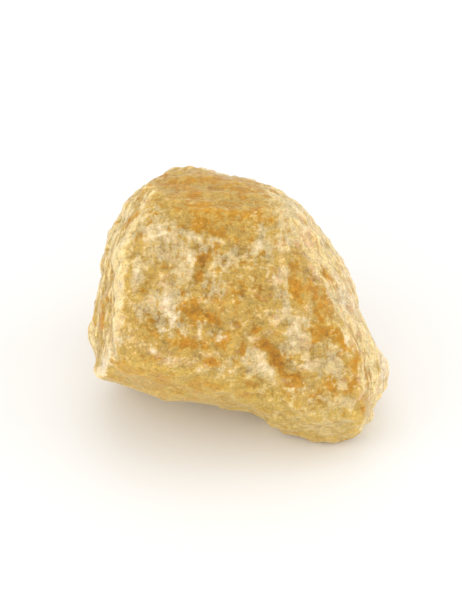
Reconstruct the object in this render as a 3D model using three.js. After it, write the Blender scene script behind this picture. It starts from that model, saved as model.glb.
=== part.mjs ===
// A hand-sized lump of raw orange calcite, broken out of massive rock and lying on its flattest break.
//
// The lump is one piece of one mineral, so it is one mesh. It is drawn square on to its front face,
// in axes of its own: U runs to the right across the face, V up it and W out of it. The finished
// lump is then leaned back about U, and the break that it lies on is cut level at Z = 0.
//
// Its surface is a distance from the middle of the lump in every direction. A girdle outline swells
// into a rounded body, flat breaks with ledges in them cut that body back, and lumps, hollows and
// ridges are laid over the result. All lengths are in millimetres.

import * as THREE from 'three';
import { ImprovedNoise } from 'three/addons/math/ImprovedNoise.js';
import { mergeVertices } from 'three/addons/utils/BufferGeometryUtils.js';

// ---- Driving dimensions -------------------------------------------------------------------------

const LEAN_BACK = THREE.MathUtils.degToRad(50); // from square on to lying down
const FRONT_SWELL = 34; // how far the rounded body reaches out of the girdle, in front
const BACK_SWELL = 37; // and behind it
const BODY_FULLNESS = 2.5; // 2 is an ellipsoid, and more is boxier
const CORNER_TIGHTNESS = 30; // how sharply two breaks meet: more is sharper
const RESTING_DEPTH = 32; // from the middle down to the level break
const LEVEL_CUT = 1.2; // how much is taken off the resting break to level it
const LEDGE_FACE = 0.28; // the share of a ledge's spacing that its face takes
const RAGGEDNESS = 0.35; // how far a ledge's edge strays, as a share of the spacing
const LUMP_SHIFT = 7; // keeps the lumps of one size from falling on those of the next
const FRONT_FADE = 8; // how far in front of the girdle the ridges and hollows reach their full height

const MESH_FINENESS = 20; // splits along each edge of the starting icosahedron
const RIDGE_PASSES = 8; // rounds of drawing the mesh towards its ridges
const RIDGE_PULL = 4; // and how strongly each round draws it

// The widest outline of the lump, seen square on to its front face, as [U, V], anticlockwise.
const GIRDLE = [
  [35.2, 0], [34.2, 6.8], [32, 13], [26.2, 22], [22.4, 25.8], [18.4, 30.2], [9.5, 33.9], [1.4, 37.1],
  [-5, 38.6], [-10.1, 40.8], [-16.8, 41.8], [-24.4, 39.4], [-33.2, 32], [-36.4, 25.8], [-39.3, 21.6],
  [-40.8, 11.9], [-41.4, 2], [-44.3, -8.3], [-42.9, -16], [-42, -20.8], [-37.4, -23.4],
  [-21.6, -27.6], [-10, -29], [-3.2, -30.3], [5.6, -32.2], [11.6, -35.8], [19.7, -39.8], [29.2, -42.1],
  [36.2, -40.4], [39.6, -35.2], [41.4, -28.6], [43.6, -26], [44.7, -21.6], [45.4, -16.8], [40.8, -12],
  [37, -5.2],
];

// The flat breaks: which way each one faces, as [U, V, W], and how far out of the middle it lies.
const BREAKS = [
  { name: 'front, upper', facing: [-0.06, 0.12, 1], out: 27.5 },
  { name: 'front, lower', facing: [0.1, -0.3, 0.95], out: 29 },
  { name: 'top', facing: [0, 0.78, 0.62], out: 36 },
  { name: 'upper left', facing: [-0.78, 0.42, 0.46], out: 41 },
  { name: 'left', facing: [-0.86, 0.04, 0.5], out: 41 },
  { name: 'lower left', facing: [-0.8, -0.14, 0.58], out: 45.5 },
  { name: 'upper right', facing: [0.66, 0.42, 0.62], out: 32.5 },
  { name: 'right', facing: [0.76, 0.24, 0.6], out: 34.5 },
  { name: 'lower right', facing: [0.84, -0.06, 0.54], out: 41 },
  { name: 'toe', facing: [0.46, -0.5, 0.73], out: 46 },
  { name: 'under the front', facing: [-0.12, -0.84, 0.52], out: 32.5 },
  { name: 'back, top', facing: [0.12, 0.66, -0.74], out: 34 },
  { name: 'back, right', facing: [0.76, 0.12, -0.64], out: 36 },
  { name: 'back, left', facing: [-0.68, 0.2, -0.7], out: 36 },
  {
    name: 'resting',
    facing: [0, -Math.sin(LEAN_BACK), -Math.cos(LEAN_BACK)],
    out: RESTING_DEPTH + LEVEL_CUT,
  },
];

// Where a break has ledges, it steps down along a direction, every so many millimetres.
const LEDGES = {
  top: { along: [0, 0.62, -0.78], every: 10, high: 0.9 },
  left: { along: [-0.5, 0, -0.86], every: 11, high: 1.1 },
  right: { along: [0.5, 0.36, -0.78], every: 10, high: 1.5 },
  'lower right': { along: [0.5, 0.3, -0.8], every: 9, high: 1.2 },
  'back, top': { along: [0.9, 0.2, 0.3], every: 15, high: 1.8 },
  'back, right': { along: [0, 1, 0.2], every: 13, high: 1.7 },
  'back, left': { along: [0.3, 0.9, 0], every: 14, high: 1.8 },
};

// Lumps of every size: the width of each size, and how high it stands.
const LUMPS = [{ width: 26, high: 2.2 }, { width: 12, high: 1.1 }, { width: 6, high: 0.5 }];

// Hollows in the front, where it broke deeper: the middle as [U, V], half its length and width, its
// turn from U in degrees, and its depth.
const HOLLOWS = [
  { at: [-10.5, 11.5], half: [7, 3], turn: 75, deep: 1.2 },
  { at: [12.5, -16], half: [10, 3], turn: -47, deep: 1.3 },
  { at: [-10, -2.5], half: [7, 3], turn: -27, deep: 0.9 },
  { at: [-13.5, -12.5], half: [9, 3.5], turn: -12, deep: 1 },
  { at: [5.5, -24], half: [7, 2.5], turn: -15, deep: 0.8 },
  { at: [20.5, 10], half: [9, 4], turn: -65, deep: 0.9 },
  { at: [26, -7], half: [9, 3], turn: -55, deep: 0.9 },
  { at: [-2, 30], half: [10, 4], turn: 0, deep: 1 },
];

// Ridges left standing along the edges of the front: the line as [U, V], and how wide and high it is.
const RIDGES = [
  { line: [[-26, 34], [-32, 21], [-31.5, 7], [-33.5, -6], [-38, -16], [-41, -21]], wide: 3, high: 1 },
  { line: [[10.5, 32], [19, 23], [27, 8], [31, -6], [34.5, -15], [34.5, -30]], wide: 3.5, high: 1.1 },
];

const noise = new ImprovedNoise();

// ---- The girdle: distance from the middle to the outline, by angle ------------------------------

const FULL_TURN = 2 * Math.PI;
const GIRDLE_STEPS = 720;

// The outline as one radius for each half degree, found where its smooth curve passes that angle.
function girdleTable() {
  const curve = new THREE.CatmullRomCurve3(
    GIRDLE.map(([u, v]) => new THREE.Vector3(u, v, 0)), true, 'centripetal',
  ).getPoints(4 * GIRDLE_STEPS);
  const table = new Array(GIRDLE_STEPS);
  for (const { x, y } of curve) {
    const turn = (Math.atan2(y, x) + FULL_TURN) % FULL_TURN;
    table[Math.floor(turn / FULL_TURN * GIRDLE_STEPS)] = Math.hypot(x, y);
  }
  return table;
}

const girdle = girdleTable();

function girdleRadius(u, v) {
  const place = (Math.atan2(v, u) + FULL_TURN) % FULL_TURN / FULL_TURN * GIRDLE_STEPS;
  const low = Math.floor(place) % GIRDLE_STEPS;
  return THREE.MathUtils.lerp(girdle[low], girdle[(low + 1) % GIRDLE_STEPS], place - Math.floor(place));
}

// ---- The body: the swelled girdle, cut back by the breaks ---------------------------------------

const breaks = BREAKS.map(({ name, facing, out }) => ({
  normal: new THREE.Vector3(...facing).normalize(),
  out,
  ledges: LEDGES[name],
}));

// A staircase less the slope that it climbs: it rises steadily, then drops by one over its last part.
function sawtooth(t) {
  const share = t - Math.floor(t);
  return share - THREE.MathUtils.smoothstep(share, 1 - LEDGE_FACE, 1);
}

function ledgeHeight({ along, every, high }, point) {
  const ragged = noise.noise(point.x / every, point.y / every, point.z / every) * RAGGEDNESS;
  const down = new THREE.Vector3(...along).normalize();
  return sawtooth(point.dot(down) / every + ragged) * high;
}

// The nearest surface wins, and the power mean rounds the corner where two are equally near.
// Where a point near the surface is given, the ledges are cut into the breaks there.
function reach(direction, point) {
  const { x: u, y: v, z: w } = direction;
  const across = Math.hypot(u, v) / girdleRadius(u, v);
  const through = Math.abs(w) / (w > 0 ? FRONT_SWELL : BACK_SWELL);
  let sum = (across ** BODY_FULLNESS + through ** BODY_FULLNESS) ** (CORNER_TIGHTNESS / BODY_FULLNESS);
  for (const { normal, out, ledges } of breaks) {
    const away = out + (point && ledges ? ledgeHeight(ledges, point) : 0);
    sum += Math.max(0, normal.dot(direction) / away) ** CORNER_TIGHTNESS;
  }
  return sum ** (-1 / CORNER_TIGHTNESS);
}

// Breaks that meet at the girdle would cut into it, so the body is let out again towards it.
function bodyPoint(direction) {
  const { x: u, y: v } = direction;
  const level = Math.hypot(u, v);
  const onGirdle = level > 0 ? new THREE.Vector3(u / level, v / level, 0) : direction;
  const letOut = level > 0 ? girdleRadius(u, v) / reach(onGirdle) : 1;
  const plain = direction.clone().multiplyScalar(reach(direction));
  const far = reach(direction, plain) * THREE.MathUtils.lerp(1, letOut, level ** 4);
  return direction.clone().multiplyScalar(far);
}

// ---- The relief on the body ---------------------------------------------------------------------

function lumpHeight({ x, y, z }) {
  return LUMPS.reduce((sum, { width, high }, i) => (
    sum + noise.noise(x / width + LUMP_SHIFT * i, y / width, z / width) * high), 0);
}

function hollowDepth(point) {
  let depth = 0;
  for (const { at: [u, v], half: [long, wide], turn, deep } of HOLLOWS) {
    const away = new THREE.Vector2(point.x - u, point.y - v)
      .rotateAround(new THREE.Vector2(), THREE.MathUtils.degToRad(-turn));
    depth += deep * Math.exp(-((away.x / long) ** 2) - (away.y / wide) ** 2);
  }
  return depth;
}

// A ridge's line as the straight stretches between its corners.
function stretchesOf(line) {
  const corners = line.map(([u, v]) => new THREE.Vector3(u, v, 0));
  return corners.slice(1).map((corner, i) => new THREE.Line3(corners[i], corner));
}

const ridges = RIDGES.map(({ line, wide, high }) => ({ stretches: stretchesOf(line), wide, high }));

function distanceFrom(stretch, point) {
  return stretch.closestPointToPoint(point, true, new THREE.Vector3()).distanceTo(point);
}

function ridgeHeight(point) {
  const flat = new THREE.Vector3(point.x, point.y, 0);
  let height = 0;
  for (const { stretches, wide, high } of ridges) {
    const away = Math.min(...stretches.map((stretch) => distanceFrom(stretch, flat)));
    height = Math.max(height, high * Math.exp(-((away / wide) ** 2)));
  }
  return height;
}

// Lumps cover the whole body. The ridges and hollows are on its front, and fade out at the girdle.
function surfacePoint(direction) {
  const point = bodyPoint(direction);
  const onFront = THREE.MathUtils.smoothstep(point.z, 0, FRONT_FADE);
  const relief = lumpHeight(point) + (ridgeHeight(point) - hollowDepth(point)) * onFront;
  return point.addScaledVector(direction, relief);
}

// ---- The mesh -----------------------------------------------------------------------------------

function neighboursOf(geometry) {
  const corners = geometry.index.array;
  const neighbours = Array.from({ length: geometry.attributes.position.count }, () => new Set());
  for (let i = 0; i < corners.length; i += 3) {
    const [a, b, c] = corners.subarray(i, i + 3);
    neighbours[a].add(b).add(c);
    neighbours[b].add(a).add(c);
    neighbours[c].add(a).add(b);
  }
  return neighbours;
}

// Draws the mesh's corners together where the surface bends most, so that ridges and ledges are
// followed by edges, and leaves fewer of them on the flats.
function drawToRidges(geometry) {
  const { position } = geometry.attributes;
  const neighbours = neighboursOf(geometry);
  for (let pass = 0; pass < RIDGE_PASSES; pass += 1) {
    geometry.computeVertexNormals();
    const { normal } = geometry.attributes;
    const points = neighbours.map((_, i) => new THREE.Vector3().fromBufferAttribute(position, i));
    const normals = neighbours.map((_, i) => new THREE.Vector3().fromBufferAttribute(normal, i));
    const pull = neighbours.map((near, i) => {
      const bend = [...near].reduce((sum, j) => sum + normals[i].angleTo(normals[j]), 0) / near.size;
      return 1 + RIDGE_PULL * Math.min(bend, 1);
    });
    neighbours.forEach((near, i) => {
      const middle = new THREE.Vector3();
      let weight = 0;
      for (const j of near) {
        middle.addScaledVector(points[j], pull[j]);
        weight += pull[j];
      }
      const moved = points[i].clone().lerp(middle.divideScalar(weight), 0.5);
      position.setXYZ(i, ...surfacePoint(moved.normalize()));
    });
  }
}

function lumpGeometry() {
  const ball = new THREE.IcosahedronGeometry(1, MESH_FINENESS);
  ball.deleteAttribute('normal');
  ball.deleteAttribute('uv');
  const shell = mergeVertices(ball);
  const { position } = shell.attributes;
  for (let i = 0; i < position.count; i += 1) {
    const direction = new THREE.Vector3().fromBufferAttribute(position, i).normalize();
    position.setXYZ(i, ...surfacePoint(direction));
  }
  drawToRidges(shell);
  shell.rotateX(LEAN_BACK);
  shell.translate(0, 0, RESTING_DEPTH);
  for (let i = 0; i < position.count; i += 1) {
    position.setZ(i, Math.max(0, position.getZ(i)));
  }
  shell.computeBoundingBox();
  const middle = shell.boundingBox.getCenter(new THREE.Vector3());
  return shell.translate(-middle.x, -middle.y, 0);
}

const calcite = new THREE.MeshStandardMaterial({ color: '#d8b26a', roughness: 0.5, metalness: 0 });
const lump = new THREE.Mesh(lumpGeometry(), calcite);
lump.name = 'calcite_lump';

const part = new THREE.Group();
part.add(lump);
export default part;
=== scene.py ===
# %% [markdown]
# # A lump of raw orange calcite
#
# Massive calcite is a rock of grains grown tightly together, with no crystal standing free. A lump
# is broken out of it with a hammer, and three things on its surface come from that. The breaks are
# nearly flat, because calcite splits along planes. Blows and rubbing crush the grains to a white
# powder on whatever stands proud. And where the break is clean, light goes in and comes back
# honey-coloured, which gives the stone its waxy look.
#
# The solid that this lesson starts from already has the flat breaks, the ridges and the large
# hollows. The lesson adds relief, about a millimetre deep at the most, and the finish.

# %% Load the solid that carries the finish
import math

import bmesh
import bpy
import numpy as np
from mathutils import Matrix, Vector


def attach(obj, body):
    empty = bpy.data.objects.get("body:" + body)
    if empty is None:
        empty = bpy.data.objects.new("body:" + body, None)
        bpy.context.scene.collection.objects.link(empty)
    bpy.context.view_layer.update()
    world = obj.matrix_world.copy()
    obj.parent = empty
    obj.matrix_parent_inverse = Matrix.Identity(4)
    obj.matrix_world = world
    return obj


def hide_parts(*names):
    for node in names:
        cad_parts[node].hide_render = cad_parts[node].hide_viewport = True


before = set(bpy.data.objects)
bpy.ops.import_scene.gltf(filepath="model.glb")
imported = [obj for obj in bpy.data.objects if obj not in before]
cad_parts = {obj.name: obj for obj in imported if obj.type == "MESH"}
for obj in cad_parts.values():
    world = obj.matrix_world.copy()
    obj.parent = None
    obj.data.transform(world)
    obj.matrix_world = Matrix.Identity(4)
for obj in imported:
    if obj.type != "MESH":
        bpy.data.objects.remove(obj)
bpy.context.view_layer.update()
MM = 0.001

# %% [markdown]
# ## Directions on the lump
#
# The lump lies so that its front face slopes up and away from the viewer. It is easier to say where
# things are on it square on to that face, so places are given in axes of the face: U to the right
# across it, V up it, and W out of it. They are the frame's axes, turned about X by the slope, and
# they start from the lump's middle.

# %% The face's own axes
FACE_SLOPE = math.radians(50)
MIDDLE = Vector((-0.5, -1.3, 32)) * MM
TO_FACE = Matrix.Rotation(-FACE_SLOPE, 3, "X")


def on_face(points):
    """Points of the frame, in metres, as U, V and W from the lump's middle, in millimetres."""
    return (points - np.array(MIDDLE)) @ np.array(TO_FACE).T / MM


def read_vectors(mesh, name):
    """The place ("co") or the normal of every vertex, as an array with a row for each."""
    values = np.empty(len(mesh.vertices) * 3, np.float32)
    mesh.vertices.foreach_get(name, values)
    return values.reshape(-1, 3)


# %% [markdown]
# ## A finer skin
#
# The solid is made of triangles 2 to 3 mm wide, and the relief to come needs points about every
# half millimetre. Subdividing rounds the triangles off into one smooth surface. It also bunches
# the points together, so a voxel remesh follows, which spreads them evenly. Subdividing again and
# again would be fine enough too, but with more points than the relief can use.

# %% Copy, round off and remesh the solid
JOIN_WITHIN = 0.001 * MM
SUBDIVISIONS = 2
SKIN_SPACING = 0.55 * MM


def plain_mesh(piece, name):
    """What a piece's modifiers make, as a mesh of its own."""
    evaluated = piece.evaluated_get(bpy.context.evaluated_depsgraph_get())
    mesh = bpy.data.meshes.new_from_object(evaluated)
    mesh.name = name
    return mesh


def finer_skin(node, name):
    mesh = node.data.copy()
    joined = bmesh.new()
    joined.from_mesh(mesh)
    bmesh.ops.remove_doubles(joined, verts=joined.verts, dist=JOIN_WITHIN)
    joined.to_mesh(mesh)
    joined.free()
    mesh.materials.clear()
    piece = bpy.data.objects.new(name, mesh)
    bpy.context.scene.collection.objects.link(piece)
    rounding = piece.modifiers.new("rounding", "SUBSURF")
    rounding.levels = rounding.render_levels = SUBDIVISIONS
    even = piece.modifiers.new("even points", "REMESH")
    even.mode = "VOXEL"
    even.voxel_size = SKIN_SPACING
    piece.data = plain_mesh(piece, name)
    piece.modifiers.clear()
    return piece


lump = finer_skin(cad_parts["calcite_lump"], "raw_calcite")
print("skin:", len(lump.data.vertices), "points")

# %% [markdown]
# ## Where the lump is bruised, and where it is clear
#
# Bruises and clear hollows are where the hammer and the rock put them, so no rule places the large
# ones. They are laid out one by one, like a painter's first marks, as soft ovals on the front face.
# Only their places are given here. Their ragged edges come later, from the grain of the stone.
#
# A bruise is crushed white, and a pale area is only dusted with its powder. A clear patch lets the
# honey colour through. A clean break is smooth, and in a streaked area the rock's own layers show
# as fine lines. Noise alone could place them all, and does so on the far side of the lump, but it
# would never put the long vein or the large bruise where they make the front face what it is.
#
# Each mark is its middle U and V, half its length and half its width in millimetres, its turn from
# U in degrees, and its strength. A mark has lost half its strength at the oval's own edge. A
# strength above 1 is for a vein that nothing may break up.

# %% Marks on the front, laid one by one
BRUISES = [
    (-19.5, -2.5, 6.5, 3.5, 97, 1), (-21, 18.5, 5.5, 4, 100, 0.8), (-13.5, 20, 2.5, 1.5, -30, 0.7),
    (-6.5, 18.5, 7, 1, -14, 0.5), (-13.5, 12.5, 3.5, 1.5, 100, 0.6), (-9, 16, 1, 1, 0, 0.6),
    (-9, 4.5, 2.5, 1.5, -60, 0.7), (-1.5, 14.5, 2.5, 1, 60, 0.7), (7, 18.5, 3.5, 1.5, 75, 0.8),
    (11, 21.5, 2.5, 1, -60, 0.6), (12, 8, 3.5, 1.5, 80, 0.6), (13.5, 0.5, 3, 2, -40, 0.7),
    (16.5, -7.5, 4, 2.5, 60, 0.8), (18, -17.5, 3.5, 2, 0, 0.7), (15, -12.5, 2.5, 1.5, 20, 0.6),
    (7.5, -17.5, 3.5, 2.5, -40, 0.6), (3.5, -10, 2.5, 1.5, 0, 0.4), (-0.5, -14, 3.5, 1.5, 80, 0.5),
    (-4.5, -9, 3, 2, -15, 0.6), (-10.5, -7.5, 2.5, 1, 80, 0.7), (-16.5, -16, 4, 1.5, -15, 0.5),
    (-10, -19, 2.5, 1.5, 20, 0.4), (-2.5, -19, 2.5, 2, 0, 0.5), (-24.5, -13.5, 1.5, 1, 0, 0.9),
    (-29, 8, 3.5, 1, 85, 1), (19.5, 13, 2, 1.5, -40, 0.4), (31, 2.5, 4, 2, -60, 0.7),
    (30.5, -13.5, 3.5, 2, 70, 0.5), (22, -26.5, 4, 2.5, 50, 0.2), (31.5, -33.5, 2, 1, 70, 0.4),
    (-14, 35.5, 2, 1, 0, 0.7), (3, 30.5, 2.5, 1.5, 0, 0.5), (-34.5, -12, 3, 1, 60, 0.8),
    (-39, -18, 2.5, 1.5, 70, 1), (-1.5, -26.5, 2.5, 1, 0, 0.5), (-14.5, -24.5, 1.5, 1, 0, 0.5),
    (26, -28, 1.5, 1, 0, 0.6), (44, -19.5, 4, 1, 88, 1), (-24.5, 16.5, 2, 1.5, 0, 0.5),
    (-19, 8, 2.5, 1.5, 90, 0.6),
]
PALE_AREAS = [
    (-26, 9.5, 7.5, 3.5, 84, 0.5), (-24.5, 18, 4.5, 3, 70, 0.6), (-17, 7, 4, 2.5, 90, 0.7),
    (10, 16, 3.5, 2.5, 60, 0.6), (24, -23, 6.5, 4.5, 40, 0.3), (26, -34, 8, 3.5, -8, 0.8),
    (18, -11.5, 5, 3.5, 60, 0.5), (-3.5, 12.5, 6, 3, 0, 0.5), (31.5, -19.5, 2.5, 4, 0, 0.4),
    (-28, 22, 5, 2.5, 110, 0.6), (-3, -14, 10, 5, -20, 0.35), (-16, -13, 6, 4, -20, 0.3),
    (28, -14, 4, 6, 0, 0.5), (13, 4, 3, 7, 0, 0.7), (-26, -1, 3, 2.5, 0, 0.7),
    (7, -17, 4, 2.5, -40, 0.9), (27, -17, 3.5, 2.5, 0, 0.8), (32, -31, 2.5, 3.5, 0, 0.7),
    (12.5, 26, 5, 4, -60, 0.8), (-13.5, 4.5, 2, 1.5, 0, 0.7), (-7, 5, 4, 3, 0, 0.8),
]
CLEAR_PATCHES = [
    (-10, 12.5, 2.5, 1.6, 70, 1), (-11, 8.5, 2.5, 1.2, 80, 1), (-21, 11, 1.5, 1, 10, 0.9),
    (-24.5, 8, 2, 1, 50, 0.8), (-27, 4.5, 1, 1, 0, 0.9), (-25.5, -5, 3, 1.5, 80, 0.4),
    (-14.5, -1, 2.5, 1, 0, 0.8), (-8, -3.5, 4, 1, -30, 1), (-15, -11, 2.5, 1, 0, 0.8),
    (-14, -11.5, 6, 1.6, -6, 0.9), (-7.5, -16, 2, 1, 0, 1), (-26, -15, 3.5, 1.5, -20, 0.7),
    (-26.5, -16, 1, 0.5, 0, 1), (-22, -21, 4, 2.2, -25, 0.8), (-9.5, -23, 4.5, 1, -8, 0.8),
    (1.5, -13, 1, 2, 0, 0.9), (5.5, -7, 1.5, 1.5, 0, 1), (11.5, -9, 2.5, 2, -50, 0.3),
    (9, -12, 3, 1.5, -50, 1.1), (11.5, -16, 4, 1.5, -58, 1.2), (17, -20.5, 3.5, 1, 0, 1),
    (4, -23, 3, 1, -10, 1), (2.5, -26.5, 2.5, 1, -20, 0.9), (18, -16, 1.5, 0.5, -20, 0.8),
    (17, 5.5, 5, 2, 88, 0.8), (17.5, 14, 3, 1.5, 88, 0.5), (26, 8.5, 3, 1, -52, 0.9),
    (23, 2.5, 6, 2.2, -58, 0.8), (24, -3.5, 2.5, 1, -60, 0.9), (24, -8, 3, 2, -10, 0.8),
    (-6, 26.5, 2, 1, 0, 0.7), (-12.5, 32, 1.5, 1, 0, 1), (-21, 36, 4, 1.5, 15, 0.6),
    (1, 34.5, 5.5, 1.5, -5, 0.6), (0.5, 11.5, 2.5, 1.5, 0, 0.4), (7, 5.5, 3, 1.5, 0, 0.5),
    (0.5, -2, 3.5, 2.5, 0, 0.4), (33.5, -23.5, 3, 1, 60, 0.7), (37.5, -18.5, 2.5, 0.5, 100, 0.7),
    (37, -30.5, 2.5, 1.5, 60, 0.7), (-37.5, 7, 3, 1.5, 80, 0.4), (-39.5, -3, 6, 1.8, 85, 0.7),
    (-28, 19, 2.5, 1, 70, 0.4), (-8.5, 21.5, 6, 1, -17, 0.4), (-8, 36, 12, 2.5, -5, 0.5),
    (34.5, -10, 4, 1, -65, 0.5), (-16.5, -3.5, 2, 1.5, 0, 0.5), (-1, 3, 12, 5, 0, 0.35),
    (-17, -9, 9, 6, -10, 0.3), (29, -9, 5, 2, -60, 0.5), (-30, 26, 6, 1.3, 63, 0.4),
    (-12, -2, 5, 3.5, -20, 0.6), (-24, -8, 3.5, 1.5, 0, 0.6), (34.5, -16, 3, 1.5, 75, 0.7),
    (-4, -11, 5, 3, -10, 0.4), (6, 27, 4, 3, 0, 0.3), (6.5, 6.5, 4, 2, 40, 0.4),
    (16, -23, 2.5, 1.5, 0, 0.5), (26.5, -24.5, 3.5, 2, -40, 0.5), (-29, -19, 5, 2, -15, 0.4),
    (-5, 25.5, 8, 3, -5, 0.35),
]
CLEAN_BREAKS = [
    (-5, 34, 16, 10, -4, 1), (-19, -24.5, 22, 4.5, -16, 1), (25, -33.5, 10, 4, -8, 0.9),
    (26, 17, 4, 1.5, -50, 0.6), (33, 5, 5, 1.5, -62, 0.6), (39, -22, 5, 2, 80, 0.8),
]
STREAKED_AREAS = [
    (-6, 29.5, 17, 4, -3, 1), (-14, 20, 12, 2.5, -14, 0.6), (3, 22, 8, 3, 10, 0.6),
    (0, 9, 13, 7, 0, 0.5), (-10, -22, 18, 4, -12, 0.6),
]
print("marks:", len(BRUISES), "bruises and", len(CLEAR_PATCHES), "clear patches")

# %% [markdown]
# The marks become attributes of the skin, one number from 0 to about 1 for each point, which the
# relief and the finish both read. A texture painted on an unwrapped skin could hold them too, but
# it would blur at the seams, and nobody could move a mark by editing a number. A thin veil of
# powder lies wider than what it came from, so the veil spreads the bruises and the pale areas out.
# All of them fade away on the far side of the lump, which has no marks listed for it.

# %% Turn the marks into attributes
VEIL_SPREAD = 1.6
HALF_AT_EDGE = math.log(2)
FRONT_STARTS, FRONT_FULL = -1, 6


def soft_step(low, high, values):
    share = np.clip((values - low) / (high - low), 0, 1)
    return share * share * (3 - 2 * share)


def inside(marks, face, spread=1):
    """How strongly the strongest mark at each point covers it."""
    share = np.zeros(len(face))
    for u, v, half_length, half_width, turn, strength in marks:
        angle = math.radians(turn)
        across, up = face[:, 0] - u, face[:, 1] - v
        along = (across * math.cos(angle) + up * math.sin(angle)) / (half_length * spread)
        beside = (up * math.cos(angle) - across * math.sin(angle)) / (half_width * spread)
        share = np.maximum(share, strength * np.exp(-HALF_AT_EDGE * (along ** 2 + beside ** 2)))
    return share


def store(mesh, name, values):
    attribute = mesh.attributes.new(name, "FLOAT", "POINT")
    attribute.data.foreach_set("value", values.astype(np.float32))


face = on_face(read_vectors(lump.data, "co"))
front = soft_step(FRONT_STARTS, FRONT_FULL, face[:, 2])
store(lump.data, "bruise", inside(BRUISES, face) * front)
store(lump.data, "veil", inside(BRUISES + PALE_AREAS, face, VEIL_SPREAD) * front)
store(lump.data, "clear", inside(CLEAR_PATCHES, face) * front)
store(lump.data, "clean", inside(CLEAN_BREAKS, face) * front)
store(lump.data, "streaked", inside(STREAKED_AREAS, face) * front)
store(lump.data, "elsewhere", 1 - front)
print("front:", round(float(front.mean()), 2), "of the skin")

# %% [markdown]
# ## The long crests
#
# The front face ends in a long ridge at its left and another at its right. A ridge between two
# breaks is the first thing to be rubbed, and on the left one the rubbing shows as a pale, broken
# line. A point is as far from a ridge as it is from the nearest of the ridge's straight stretches.
# Each ridge is its corners, from the top down, as U and V.

# %% The two crests, and how near each point is to the left one
LEFT_CREST = [(-24, 33), (-29, 25), (-32.5, 17), (-33.5, 5), (-33.5, -6), (-38, -16), (-41, -21)]
RIGHT_CREST = [(4, 37), (7, 30.5), (11, 24.5), (18, 13), (26, 1.5), (31, -10), (35, -18), (36, -30)]
CREST_HALF_WIDTH = 1.8


def distance_to(line, face):
    """How far each point is from a line of straight stretches, seen square on to the face."""
    nearest = np.full(len(face), np.inf)
    for start, end in zip(line, line[1:]):
        start, run = np.array(start), np.subtract(end, start)
        share = np.clip((face[:, :2] - start) @ run / (run @ run), 0, 1)
        stretch = face[:, :2] - start - share[:, None] * run
        nearest = np.minimum(nearest, np.hypot(stretch[:, 0], stretch[:, 1]))
    return nearest


crest = np.exp(-(distance_to(LEFT_CREST, face) / CREST_HALF_WIDTH) ** 2) * front
store(lump.data, "crest", crest)
print("crest:", int((crest > 0.5).sum()), "points more than half rubbed")

# %% [markdown]
# ## Which way each break faces
#
# The grain of a break depends on which way it cut through the rock. The top and the two flanks of
# this lump are streaked, each along its own direction, and the flanks were rubbed paler. Which way
# the smooth skin faces, before any relief disturbs it, tells them apart well enough behind. On the
# front the two crests do, because a flank starts at its crest. Each side is the way that it faces,
# along U, V and W.

# %% Masks for the top, the flanks and the underside
SIDES = {
    "top": (0, 1, 0.35),
    "left": (-1, 0, 0.1),
    "right": (1, 0.5, 0.1),
    "under": (0, -1, 0),
}
SIDE_STARTS, SIDE_FULL = 0.1, 0.9
CREST_BLUR = 5


def past(crest, outward, face):
    """1 for a point outside a crest and 0 inside it, with a soft change between."""
    upward = sorted(crest, key=lambda corner: corner[1])
    crest_u = np.interp(face[:, 1], [v for _, v in upward], [u for u, _ in upward])
    return soft_step(-CREST_BLUR, CREST_BLUR, (face[:, 0] - crest_u) * outward)


facing = read_vectors(lump.data, "normal") @ np.array(TO_FACE).T
sides = {
    side: soft_step(SIDE_STARTS, SIDE_FULL, facing @ np.array(Vector(direction).normalized()))
    for side, direction in SIDES.items()
}
sides["left"] = sides["left"] * (1 - front) + past(LEFT_CREST, -1, face) * front
sides["right"] = sides["right"] * (1 - front) + past(RIGHT_CREST, 1, face) * front
for side, values in sides.items():
    store(lump.data, side, values)
print("facing:", {side: round(float(values.mean()), 2) for side, values in sides.items()})

# %% [markdown]
# ## One function for every node
#
# Trees of nodes read better when a node, its settings and what feeds it are said in one place. The
# other functions here build what both the relief and the finish need.

# %% The function that adds a node, and three that use it
MATH = "ShaderNodeMath"
VECTOR_MATH = "ShaderNodeVectorMath"


def add(tree, kind, inputs=None, **settings):
    """Adds a node. Each input is given a value, or a node or an output to link from."""
    node = tree.nodes.new(kind)
    for name, value in settings.items():
        setattr(node, name, value)
    for key, value in (inputs or {}).items():
        named = [socket for socket in node.inputs if socket.enabled and socket.name == key]
        socket = named[0] if named else node.inputs[key]
        if isinstance(value, bpy.types.Node):
            value = next(output for output in value.outputs if output.enabled)
        if isinstance(value, bpy.types.NodeSocket):
            tree.links.new(value, socket)
        else:
            socket.default_value = value
    return node


def place_on_face(tree, position):
    """A position in the frame, in metres, as a place in the face's axes, in millimetres."""
    turned = add(tree, "ShaderNodeVectorRotate", {
        "Vector": position, "Center": MIDDLE, "Angle": -FACE_SLOPE,
    }, rotation_type="X_AXIS")
    return add(tree, VECTOR_MATH, {0: turned, "Scale": 1 / MM}, operation="SCALE")


def weighted_sum(tree, parts, base=0.0):
    """A base value plus several other values, each times its own weight."""
    summed = base
    for value, weight in parts:
        summed = add(tree, MATH, {0: value, 1: weight, 2: summed}, operation="MULTIPLY_ADD")
    return summed


def by_weights(tree, found, weights, base=0.0):
    """The weighted sum of named values, out of all that were found."""
    return weighted_sum(tree, [(found[name], weight) for name, weight in weights.items()], base)
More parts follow.
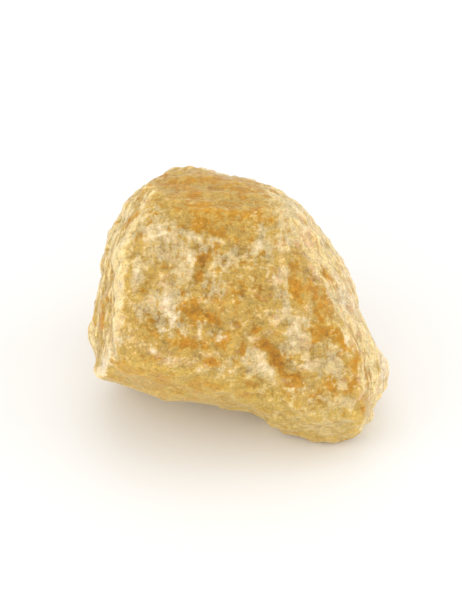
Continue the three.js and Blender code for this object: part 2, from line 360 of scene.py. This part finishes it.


# %% [markdown]
# ## The relief, one kind at a time
#
# A Geometry Nodes tree moves each point of the skin in or out by a height, and the height is a sum
# of a few kinds of relief that real broken calcite has. Displacing the points, instead of faking
# the relief with bump alone, keeps it in the outline and in the mesh itself. Each kind is a
# small group of nodes that takes a place in millimetres and gives a height in millimetres.
#
# The first kind is chips. Calcite splits along three planes that lean alike round one axis, and a
# rough break is a patchwork of them. Three zigzag waves, one across each plane, add up to flat
# little faces with sharp edges between them. Noise bends the waves so that no two faces match. A
# cell pattern with a tilt for each cell makes flat faces too, but its cells are all alike and the
# stone ends up looking like leather.

# %% Chips: small flat faces that lean three ways
CLEAVAGE_LEAN = math.radians(45)
CLEAVAGE_TURN = 0.4
WAVE_SHARES = (0.5, 0.4, 0.63)
CHIPS_BEND = 1.7
BENDS_PER_SIZE = 0.7
NOISE_MIDDLE = 0.5


def cleavage(third):
    """The direction across one of the three planes."""
    turn = CLEAVAGE_TURN + third * math.tau / 3
    flat = math.sin(CLEAVAGE_LEAN)
    return Vector((flat * math.cos(turn), flat * math.sin(turn), math.cos(CLEAVAGE_LEAN)))


def scale_for(tree, size, repeats=1):
    """The Scale at which a pattern fits its repeats into a size in millimetres."""
    return add(tree, MATH, {0: repeats, 1: size}, operation="DIVIDE")


def wandered(tree, place, size, share):
    """A place moved about by noise, by a share of its size, so that what lies on it bends."""
    noise = add(tree, "ShaderNodeTexNoise", {
        "Vector": place, "Scale": scale_for(tree, size, BENDS_PER_SIZE), "Detail": 1,
    }).outputs["Color"]
    either_way = add(tree, VECTOR_MATH, {0: noise, 1: [NOISE_MIDDLE] * 3}, operation="SUBTRACT")
    reach = add(tree, MATH, {0: size, 1: share}, operation="MULTIPLY")
    shift = add(tree, VECTOR_MATH, {0: either_way, "Scale": reach}, operation="SCALE")
    return add(tree, VECTOR_MATH, {0: place, 1: shift}, operation="ADD")


def chips(tree, place, width, tilt):
    wandering = wandered(tree, place, width, CHIPS_BEND)
    waves = []
    for third, share in enumerate(WAVE_SHARES):
        across = add(tree, VECTOR_MATH, {0: wandering, 1: cleavage(third)}, operation="DOT_PRODUCT")
        half_wave = add(tree, MATH, {0: width, 1: share}, operation="MULTIPLY")
        climb = {0: across.outputs["Value"], 1: half_wave}
        waves.append(add(tree, MATH, climb, operation="PINGPONG"))
    middle = add(tree, MATH, {0: width, 1: -sum(WAVE_SHARES) / 2}, operation="MULTIPLY")
    return weighted_sum(tree, [(part, tilt) for part in (*waves, middle)])


# %% [markdown]
# Where a blow landed, the grains are crushed and stand up singly, like coarse sugar. Rounded cells
# as wide as a grain make them: a cell is highest at its middle and dips at its borders.

# %% Grains: coarse sugar, where the stone was crushed
DOME_RADIUS = 0.5


def grains(tree, place, width, height):
    cells = add(tree, "ShaderNodeTexVoronoi", {
        "Vector": place, "Scale": scale_for(tree, width),
    }, feature="F1")
    dome = add(tree, MATH, {0: DOME_RADIUS, 1: cells.outputs["Distance"]}, operation="SUBTRACT")
    return add(tree, MATH, {0: dome, 1: height}, operation="MULTIPLY")


# %% [markdown]
# Here and there a grain has fallen out and left a pit. Only some cells of a wider pattern get one,
# picked by their random colour, and its depth fades out before the cell's border.

# %% Pits: where a grain fell out
PIT_EDGE, PIT_FLOOR = 0.34, 0.1
SHARE_WITHOUT_PIT = 0.55


def pits(tree, place, spacing, depth):
    cells = add(tree, "ShaderNodeTexVoronoi", {
        "Vector": place, "Scale": scale_for(tree, spacing),
    }, feature="F1")
    hole = add(tree, "ShaderNodeMapRange", {
        "Value": cells.outputs["Distance"], "From Min": PIT_EDGE, "From Max": PIT_FLOOR,
        "To Min": 0, "To Max": depth,
    }, interpolation_type="SMOOTHSTEP")
    picked = add(tree, "ShaderNodeSeparateXYZ", {0: cells.outputs["Color"]}).outputs["X"]
    there = add(tree, MATH, {0: picked, 1: SHARE_WITHOUT_PIT}, operation="GREATER_THAN")
    return add(tree, MATH, {0: hole, 1: there}, operation="MULTIPLY")


# %% [markdown]
# On the top and the flanks the break runs along the stone's grain, and tears it into long fine
# ridges. Noise that is squeezed along one direction has features that are long in it. The part of
# a place that lies along the direction is found with a dot product, and most of it is taken away.
# Before that the place is moved about a little, so that the ridges sway instead of ruling lines.

# %% Streaks: fine ridges torn along the grain
STREAK_SQUEEZE = 0.92
SWAY_SIZE, SWAY_SHARE = 9, 0.5


def squeezed(tree, place, direction):
    along = add(tree, VECTOR_MATH, {0: place, 1: direction}, operation="DOT_PRODUCT")
    less = add(tree, MATH, {0: along.outputs["Value"], 1: STREAK_SQUEEZE}, operation="MULTIPLY")
    taken = add(tree, VECTOR_MATH, {0: direction, "Scale": less}, operation="SCALE")
    return add(tree, VECTOR_MATH, {0: place, 1: taken}, operation="SUBTRACT")


def centred(tree, value):
    """A value between 0 and 1, moved to lie as far either way of 0."""
    return add(tree, MATH, {0: value, 1: NOISE_MIDDLE}, operation="SUBTRACT")


def streaks(tree, place, direction, width, height):
    noise = add(tree, "ShaderNodeTexNoise", {
        "Vector": squeezed(tree, wandered(tree, place, SWAY_SIZE, SWAY_SHARE), direction),
        "Scale": scale_for(tree, width),
        "Detail": 2,
        "Distortion": 0.3,
    })
    return add(tree, MATH, {0: centred(tree, noise), 1: height}, operation="MULTIPLY")


# %% [markdown]
# Calcite also splits in steps: a break climbs slowly along a cleavage plane, then drops to the next
# one. The share of a step that has been climbed rises from 0 to 1, and a steep last part brings
# the height back down. Noise added to the climb makes the step's edge ragged.

# %% Steps: small ledges along the cleavage
STEP_FACE_STARTS = 0.72
STEP_RAGS_PER_SPACING, STEP_RAGGEDNESS = 0.45, 2.2


def steps(tree, place, direction, spacing, height):
    ragged = add(tree, "ShaderNodeTexNoise", {
        "Vector": place, "Scale": scale_for(tree, spacing, STEP_RAGS_PER_SPACING), "Detail": 2,
    })
    along = add(tree, VECTOR_MATH, {0: place, 1: direction}, operation="DOT_PRODUCT")
    climbed = add(tree, MATH, {0: along.outputs["Value"], 1: spacing}, operation="DIVIDE")
    strayed = weighted_sum(tree, [(ragged, STEP_RAGGEDNESS)], climbed)
    share = add(tree, MATH, {0: strayed}, operation="FRACT")
    drop = add(tree, "ShaderNodeMapRange", {
        "Value": share, "From Min": STEP_FACE_STARTS, "From Max": 1,
    }, interpolation_type="SMOOTHSTEP")
    rise = add(tree, MATH, {0: share, 1: drop}, operation="SUBTRACT")
    return add(tree, MATH, {0: rise, 1: height}, operation="MULTIPLY")


# %% [markdown]
# ## The height at a point
#
# Every size is a named input of the tree, in millimetres, so the relief can be tuned without
# opening it. A chip's tilt is how far it climbs for each millimetre across, and the seed only moves
# the patterns to another part of their endless space. The masks steer the sum: crushed stone is
# rougher, a clean break is smoother, clear stone lies a little deeper, and the streaks and steps
# are torn into the top and the flanks alone. There the grain is the way that the streaks run, the
# climb is the way that the steps go up, and the share is how much of both there is. The widest
# relief is streaks again, but with no direction to squeeze along they become plain soft lumps.

# %% Sizes of the relief, and their sum
RELIEF = {
    "Seed": 4.0,
    "Lump width": 7.0,
    "Lump height": 0.8,
    "Chip width": 6.5,
    "Chip tilt": 0.2,
    "Small chip width": 2.4,
    "Small chip tilt": 0.14,
    "Grain width": 1.1,
    "Grain height": 0.14,
    "Pit spacing": 3.8,
    "Pit depth": 0.3,
    "Streak width": 1.8,
    "Streak height": 0.42,
    "Step spacing": 4.2,
    "Step height": 0.36,
    "Clear depth": 0.3,
    "Crest height": 0.3,
}
SEED_STEP = (31, 17, 53)
NO_DIRECTION = (0, 0, 0)
ROUGHNESS, ROUGHNESS_BY = 0.8, {"bruise": 0.6, "clear": -0.4, "clean": -0.7}
ROUGHNESS_LEAST, ROUGHNESS_MOST = 0.15, 1.5
TORN = {
    "top": {"grain": (1, 0.05, 0), "climb": (0, 0.6, -0.8), "share": 1.0},
    "left": {"grain": (0.1, 1, 0), "climb": (-0.4, 0.1, -0.9), "share": 0.5},
    "right": {"grain": (0.42, -0.91, 0), "climb": (0.7, 0.45, -0.55), "share": 0.8},
}


def relief_height(tree, given):
    """The height of the relief at a point, in millimetres."""
    seed_shift = add(tree, VECTOR_MATH, {0: SEED_STEP, "Scale": given["Seed"]}, operation="SCALE")
    on_the_face = place_on_face(tree, add(tree, "GeometryNodeInputPosition"))
    place = add(tree, VECTOR_MATH, {0: on_the_face, 1: seed_shift}, operation="ADD")
    masks = {
        name: add(tree, "GeometryNodeInputNamedAttribute", {"Name": name}, data_type="FLOAT")
        for name in ("bruise", "clear", "clean", "crest", *TORN)
    }
    rough = weighted_sum(tree, [
        (chips(tree, place, given["Chip width"], given["Chip tilt"]), 1),
        (chips(tree, place, given["Small chip width"], given["Small chip tilt"]), 1),
        (grains(tree, place, given["Grain width"], given["Grain height"]), 1),
        (pits(tree, place, given["Pit spacing"], given["Pit depth"]), -1),
    ])
    roughness = add(tree, "ShaderNodeClamp", {
        "Value": by_weights(tree, masks, ROUGHNESS_BY, ROUGHNESS),
        "Min": ROUGHNESS_LEAST, "Max": ROUGHNESS_MOST,
    })
    hollow = add(tree, MATH, {0: masks["clear"], 1: -1}, operation="MULTIPLY")
    parts = [
        (streaks(tree, place, NO_DIRECTION, given["Lump width"], given["Lump height"]), 1),
        (rough, roughness),
        (hollow, given["Clear depth"]),
        (masks["crest"], given["Crest height"]),
    ]
    for side, torn in TORN.items():
        run, climb = Vector(torn["grain"]).normalized(), Vector(torn["climb"]).normalized()
        share = add(tree, MATH, {0: masks[side], 1: torn["share"]}, operation="MULTIPLY")
        parts += [
            (streaks(tree, place, run, given["Streak width"], given["Streak height"]), share),
            (steps(tree, place, climb, given["Step spacing"], given["Step height"]), share),
        ]
    return weighted_sum(tree, parts)


# %% [markdown]
# ## The tree round it
#
# The tree moves each point along its normal by the height. After that, nothing may reach below the
# surface that the lump lies on, so every point is lifted to it at least. Then the tree looks at its
# own result: blurring the positions gives the surface as it would be without small relief, and how
# far a point stands out from that is kept as "proud". The finish will be paler there, partly because
# what stands proud is what gets rubbed, and partly as painted light. The hollows get painted shade.

# %% The relief as a Geometry Nodes tree
SMOOTHING_PASSES = 45


def relief_tree():
    tree = bpy.data.node_groups.new("broken calcite", "GeometryNodeTree")
    tree.interface.new_socket("Geometry", in_out="INPUT", socket_type="NodeSocketGeometry")
    for name in RELIEF:
        tree.interface.new_socket(name, in_out="INPUT", socket_type="NodeSocketFloat")
    tree.interface.new_socket("Material", in_out="INPUT", socket_type="NodeSocketMaterial")
    tree.interface.new_socket("Geometry", in_out="OUTPUT", socket_type="NodeSocketGeometry")
    given = add(tree, "NodeGroupInput").outputs
    height = add(tree, MATH, {0: relief_height(tree, given), 1: MM}, operation="MULTIPLY")
    normal = add(tree, "GeometryNodeInputNormal")
    outward = add(tree, VECTOR_MATH, {0: normal, "Scale": height}, operation="SCALE")
    moved = add(tree, "GeometryNodeSetPosition", {"Geometry": given["Geometry"], "Offset": outward})

    position = add(tree, "GeometryNodeInputPosition")
    moved_to = add(tree, "ShaderNodeSeparateXYZ", {0: position}).outputs
    lifted = add(tree, "ShaderNodeCombineXYZ", {
        "X": moved_to["X"], "Y": moved_to["Y"],
        "Z": add(tree, MATH, {0: moved_to["Z"], 1: 0}, operation="MAXIMUM"),
    })
    resting = add(tree, "GeometryNodeSetPosition", {"Geometry": moved, "Position": lifted})

    around = add(tree, "GeometryNodeBlurAttribute", {
        "Value": position, "Iterations": SMOOTHING_PASSES,
    }, data_type="FLOAT_VECTOR")
    from_around = add(tree, VECTOR_MATH, {0: position, 1: around}, operation="SUBTRACT")
    out = add(tree, VECTOR_MATH, {0: from_around, 1: normal}, operation="DOT_PRODUCT")
    proud = add(tree, MATH, {0: out.outputs["Value"], 1: 1 / MM}, operation="MULTIPLY")
    kept = add(tree, "GeometryNodeStoreNamedAttribute", {
        "Geometry": resting, "Name": "proud", "Value": proud,
    }, data_type="FLOAT", domain="POINT")
    smooth = add(tree, "GeometryNodeSetShadeSmooth", {0: kept})
    whole = add(tree, "GeometryNodeRealizeInstances", {0: smooth})
    stone = add(tree, "GeometryNodeSetMaterial", {"Geometry": whole, "Material": given["Material"]})
    add(tree, "NodeGroupOutput", {"Geometry": stone})
    return tree


# %% [markdown]
# ## The finish
#
# Massive orange calcite, broken and handled. Its honey colour is iron in the grains, and it is
# deepest where the stone is clear. Crushed stone is pale, because powder scatters light before it
# can go in. The body is waxy: light goes a few millimetres in and comes back, redder than it went.
#
# The colours are laid over each other as a painter would lay them. Each coat says how much of each
# pattern and mask it goes by, so the whole finish can be read off one list. The patterns come
# first, and all are centred on zero. From clouds a centimetre wide down to crumbs of crushed stone
# they are noise, and single grains are cells. The finest are lace and the fine grains. They stand
# for powder a tenth of a millimetre across, which would not show, so they are drawn at about half a
# millimetre. The wide patterns are bent a lot and the small ones a little, since noise looks like
# round blobs until something has stirred it.
#
# A noise is its size in millimetres, its detail and its roughness, a stir is the size of its bends
# and their reach as a share of it, and streaks are their direction and their width. The masks are
# the attributes of the skin.

# %% Patterns in the stone
CLOUD_PATTERNS = {
    "clouds": (13, 2, 0.5),
    "blotches": (8, 1, 0.5),
    "mottle": (4.5, 3, 0.55),
    "lumps": (2.4, 2, 0.5),
    "crumbs": (1.3, 1, 0.5),
    "lace": (0.6, 2, 0.6),
}
GRAIN_PATTERNS = {"grains": 1.6, "fine grains": 0.5}
STREAK_PATTERNS = {
    "top": (TORN["top"]["grain"], 1.0),
    "left": (TORN["left"]["grain"], 1.8),
    "right": (TORN["right"]["grain"], 1.2),
    "veil": (TORN["left"]["grain"], 1.2),
    "streaked": ((1, -0.05, 0), 0.8),
}
STIR_WIDE, STIR_SMALL = (6, 0.7), (2.5, 0.35)
WIDE_ABOVE = 2
MASKS = (
    "bruise", "veil", "clear", "clean", "streaked", "crest", "elsewhere",
    "top", "left", "right", "under", "proud",
)


def patterns(tree, place):
    """Every pattern and mask that a coat of colour may go by."""
    found = {}
    wide, small = wandered(tree, place, *STIR_WIDE), wandered(tree, place, *STIR_SMALL)
    for name, (size, detail, roughness) in CLOUD_PATTERNS.items():
        noise = add(tree, "ShaderNodeTexNoise", {
            "Vector": wide if size > WIDE_ABOVE else small,
            "Scale": 1 / size, "Detail": detail, "Roughness": roughness,
        })
        found[name] = centred(tree, noise)
    for name, size in GRAIN_PATTERNS.items():
        cells = add(tree, "ShaderNodeTexVoronoi", {"Vector": place, "Scale": 1 / size})
        random = add(tree, "ShaderNodeSeparateXYZ", {0: cells.outputs["Color"]}).outputs["X"]
        found[name] = centred(tree, random)
    for name in MASKS:
        found[name] = add(tree, "ShaderNodeAttribute", attribute_name=name).outputs["Fac"]
    for mask, (direction, width) in STREAK_PATTERNS.items():
        streaked = streaks(tree, place, Vector(direction).normalized(), width, 1)
        found[mask + " streaks"] = add(tree, MATH, {0: streaked, 1: found[mask]}, operation="MULTIPLY")
    stand_in = {0: found["blotches"], 1: found["elsewhere"]}
    found["blotches elsewhere"] = add(tree, MATH, stand_in, operation="MULTIPLY")
    return found


# %% [markdown]
# The lowest coat is the honey of plain stone. Amber lies over it where the stone is clear, and deep
# amber in the clearest veins. Sugar is a scatter of pale crumbs. Cream covers the rubbed flanks and
# the left crest, veil is the thin film of crushed stone round the bruises, and rosy is the faint
# pink that iron gives to some of it. Olive is a thin, greener gold on the clean breaks. On the side
# that faces down it is painted light, as is a little of the cream: they make that side paler and
# greener where it lies in shade. Chalk is the thick powder on the bruises themselves, and specks are
# the dark gaps between crumbs, drawn a little into the hollows as painted shade. Away from the
# front, where no marks were laid, blotches stand in for them.
#
# A coat has a colour, a strength, the level at which it starts to show and the one at which it
# shows fully, and the weights whose sum is its level at a point.

# %% Coats of colour
UNDERCOAT = "#BE9B4A"
COATS = {
    "amber": ("#BB8308", 0.9, 0.1, 0.5, {
        "clear": 0.7, "clean": 0.2, "clouds": 0.6, "mottle": 1.5, "lumps": -1.4, "crumbs": -0.7,
        "streaked streaks": -1.5, "left streaks": -0.4, "right streaks": -0.6,
        "blotches elsewhere": -2.0,
    }),
    "deep amber": ("#B97B05", 0.85, 0.6, 1.0, {
        "clear": 1.0, "clean": 0.1, "mottle": 0.9, "lumps": -0.9, "blotches elsewhere": -2.0,
    }),
    "sugar": ("#D6BA82", 0.7, 0.0, 0.25, {
        "clear": -0.4, "clean": -0.35, "mottle": 0.6, "lumps": 0.9, "crumbs": 1.3,
        "streaked streaks": 1.4, "top streaks": 1.4,
    }),
    # Cream's small "under" weight is painted light: it makes the side that faces down paler.
    "cream": ("#E5CD92", 0.9, 0.15, 0.75, {
        "left": 0.42, "right": 0.65, "under": 0.12, "crest": 0.5, "clear": -0.7, "clean": -0.25,
        "clouds": 1.0, "mottle": 1.2, "lumps": 0.8,
        "streaked streaks": 2.4, "left streaks": 2.8, "right streaks": 2.4,
    }),
    "veil": ("#CEB784", 0.85, 0.15, 0.5, {
        "veil": 0.8, "clear": -0.8, "clean": -0.3, "left": -0.1, "top": -0.05,
        "clouds": 0.4, "mottle": 1.1, "lumps": 0.7, "crumbs": 0.3,
        "veil streaks": 1.5, "blotches elsewhere": 1.5,
    }),
    "rosy": ("#DDB68C", 0.65, 0.05, 0.35, {
        "right": 0.15, "bruise": 0.1, "clear": -0.3, "clean": -0.3, "top": -0.1, "under": -0.2,
        "clouds": -0.6, "blotches": 0.6, "mottle": 0.6, "crumbs": -1.0, "right streaks": -1.5,
    }),
    # On the side that faces down this coat is painted light, paler and greener where that side lies in
    # shade; on the clean breaks it is the stone's own colour.
    "olive and underside light": ("#C9AC50", 0.35, 0.1, 0.9, {
        "under": 1.0, "clean": 0.4, "mottle": 0.5,
    }),
    "chalk": ("#E2CFAE", 0.85, 0.5, 1.4, {
        "bruise": 0.8, "veil": 0.2, "crest": 0.3, "left": 0.1, "right": 0.3, "proud": 0.5,
        "clear": -0.3, "clean": -0.25, "mottle": 1.3, "lumps": 1.3, "crumbs": 0.9, "grains": 0.15,
        "veil streaks": 0.8, "right streaks": 1.5, "blotches elsewhere": 1.5,
    }),
    # The "proud" weight of the specks is painted shade: it gathers them in the hollows.
    "specks": ("#A0701A", 0.45, 0.15, 0.45, {
        "bruise": -0.15, "clean": -0.15, "left": -0.15, "right": -0.15, "proud": -0.4,
        "lumps": -0.5, "crumbs": -1.6,
    }),
}
print("coats:", ", ".join(COATS))


def linear(hex_colour):
    """An sRGB hex colour as the linear colour that a socket takes."""
    shares = [int(hex_colour[start:start + 2], 16) / 255 for start in (1, 3, 5)]
    return [c / 12.92 if c <= 0.04045 else ((c + 0.055) / 1.055) ** 2.4 for c in shares] + [1]


def layered_colour(tree, found):
    colour = linear(UNDERCOAT)
    for hex_colour, strength, starts, full, weights in COATS.values():
        share = add(tree, "ShaderNodeMapRange", {
            "Value": by_weights(tree, found, weights),
            "From Min": starts, "From Max": full, "To Max": strength,
        }, interpolation_type="SMOOTHSTEP")
        colour = add(tree, "ShaderNodeMix", {
            "Factor": share, "A": colour, "B": linear(hex_colour),
        }, data_type="RGBA")
    return colour


# %% [markdown]
# Each grain splits along its own planes, so from one direction some look light and some dark. A
# shade for each grain does that. What stands proud is painted a little lighter and the hollows a
# little darker, as painted light and shade. The index of refraction is calcite's. The gloss is that
# of wax, softer still where the stone is crushed, and the powder adds a faint sheen at the edges.
# Bump could carry the whole relief, but it would vanish from the outline, so it only sharpens crumbs
# and grains whose edges are too fine for the mesh.

# %% The material of the stone
CALCITE_IOR = 1.6
LIGHT_GOES_IN = 3.0 * MM
BUMP_HEIGHT = 0.2 * MM
BUMPS_BY = {"crumbs": 1, "lace": 0.6, "grains": 0.3}
# The "proud" weight is painted light and shade: lighter where the surface stands proud, darker in its
# hollows.
SHADE_BY = {
    "proud": 0.25, "lumps": 0.2, "crumbs": 0.3, "lace": 0.65, "grains": 0.1, "fine grains": 0.28,
}
DULLNESS, DULLNESS_BY = 0.45, {"bruise": 0.2, "clean": -0.08, "lace": 0.3}


def orange_calcite():
    material = bpy.data.materials.new("massive orange calcite")
    material.use_nodes = True
    tree = material.node_tree
    tree.nodes.clear()
    found = patterns(tree, place_on_face(tree, add(tree, "ShaderNodeTexCoord").outputs["Object"]))
    shade = by_weights(tree, found, SHADE_BY, 1)
    bumps = add(tree, "ShaderNodeBump", {
        "Height": by_weights(tree, found, BUMPS_BY), "Distance": BUMP_HEIGHT,
    })
    stone = add(tree, "ShaderNodeBsdfPrincipled", {
        "Base Color": add(tree, VECTOR_MATH, {
            0: layered_colour(tree, found), "Scale": shade,
        }, operation="SCALE"),
        "Roughness": by_weights(tree, found, DULLNESS_BY, DULLNESS),
        "IOR": CALCITE_IOR,
        "Specular IOR Level": 0.25,
        "Normal": bumps,
        "Sheen Weight": 0.15,
        "Sheen Roughness": 0.5,
        "Subsurface Weight": 0.45,
        "Subsurface Radius": (1.0, 0.7, 0.3),
        "Subsurface Scale": LIGHT_GOES_IN,
    })
    add(tree, "ShaderNodeOutputMaterial", {"Surface": stone})
    return material


# %% [markdown]
# ## From skin to stone
#
# The tree's inputs are set by their identifiers, because a modifier knows them by nothing else. The
# result becomes a plain mesh, and the modifier goes. Last, the stone is told which body it rides on,
# and the part of the solid that it stands in for is hidden.

# %% Run the relief on the skin
def set_inputs(modifier, values):
    for item in modifier.node_group.interface.items_tree:
        if item.in_out == "INPUT" and item.name in values:
            modifier[item.identifier] = values[item.name]


relief = lump.modifiers.new("broken calcite", "NODES")
relief.node_group = relief_tree()
finish = orange_calcite()
set_inputs(relief, {**RELIEF, "Material": finish})
print("relief:", len(relief.node_group.nodes), "nodes")
print("finish:", len(finish.node_tree.nodes), "nodes")
lump.data = plain_mesh(lump, "raw_calcite")
lump.modifiers.clear()
triangles = sum(len(polygon.vertices) - 2 for polygon in lump.data.polygons)
proud = np.empty(len(lump.data.vertices), np.float32)
lump.data.attributes["proud"].data.foreach_get("value", proud)
print("stone:", triangles, "triangles")
print("stands proud by", proud.min().round(2), "to", proud.max().round(2), "mm")
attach(lump, "root")
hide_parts("calcite_lump")

# %% [markdown]
# ## A plain place to look at it
#
# The floor is a wide pale sheet under a white sky. Four large soft lamps stand round the lump, so
# that no side of it falls dark. Each is where it stands, its side in metres, and its watts.

# %% Floor, sky and lamps
FLOOR_SIDE = 4.0
LAMPS = {
    "left": ((-0.55, -0.2, 0.4), 0.5, 0.9),
    "right": ((0.6, 0.0, 0.45), 0.5, 0.9),
    "over": ((0.0, 0.25, 0.75), 0.6, 0.7),
    "front": ((0.05, -0.7, 0.12), 0.6, 1.3),
}
SKY_STRENGTH = 0.9
CARD_WHITE, CARD_ROUGHNESS = "#F4F3F1", 0.9


def pale_floor():
    mesh = bpy.data.meshes.new("floor")
    half = FLOOR_SIDE / 2
    corners = [(-half, -half, 0), (half, -half, 0), (half, half, 0), (-half, half, 0)]
    mesh.from_pydata(corners, [], [(0, 1, 2, 3)])
    material = bpy.data.materials.new("white card")
    material.use_nodes = True
    card = material.node_tree.nodes["Principled BSDF"].inputs
    card["Base Color"].default_value = linear(CARD_WHITE)
    card["Roughness"].default_value = CARD_ROUGHNESS
    mesh.materials.append(material)
    floor = bpy.data.objects.new("floor", mesh)
    bpy.context.scene.collection.objects.link(floor)


def soft_lamp(name, place, side, watts):
    light = bpy.data.lights.new("lamp_" + name, "AREA")
    light.size = side
    light.energy = watts
    lamp = bpy.data.objects.new("lamp_" + name, light)
    lamp.location = place
    lamp.rotation_euler = (MIDDLE - Vector(place)).to_track_quat("-Z", "Y").to_euler()
    bpy.context.scene.collection.objects.link(lamp)


def white_sky():
    world = bpy.data.worlds.new("white sky")
    world.use_nodes = True
    background = world.node_tree.nodes["Background"].inputs
    background["Color"].default_value = (1, 1, 1, 1)
    background["Strength"].default_value = SKY_STRENGTH
    bpy.context.scene.world = world


pale_floor()
for name, (place, side, watts) in LAMPS.items():
    soft_lamp(name, place, side, watts)
white_sky()
bpy.context.scene.view_settings.view_transform = "Standard"
print("lamps:", ", ".join(LAMPS))

# %% [markdown]
# ## The camera
#
# A long lens half a metre away keeps the lump's proportions as the eye knows them. It looks down on
# the front face, almost square on to it, and the small shifts put the lump a little off the middle.

# %% Look down on the front face
CAMERA_LENS = 100
CAMERA_DISTANCE = 0.505
CAMERA_ELEVATION = math.radians(40)
CAMERA_SHIFT = (-0.010, 0.0083)

lens = bpy.data.cameras.new("camera")
lens.lens = CAMERA_LENS
lens.shift_x, lens.shift_y = CAMERA_SHIFT
camera = bpy.data.objects.new("camera", lens)
away = Vector((0, -math.cos(CAMERA_ELEVATION), math.sin(CAMERA_ELEVATION)))
camera.location = MIDDLE + away * CAMERA_DISTANCE
camera.rotation_euler = (math.pi / 2 - CAMERA_ELEVATION, 0, 0)
bpy.context.scene.collection.objects.link(camera)
bpy.context.scene.camera = camera
print("camera:", [round(part, 3) for part in camera.location])
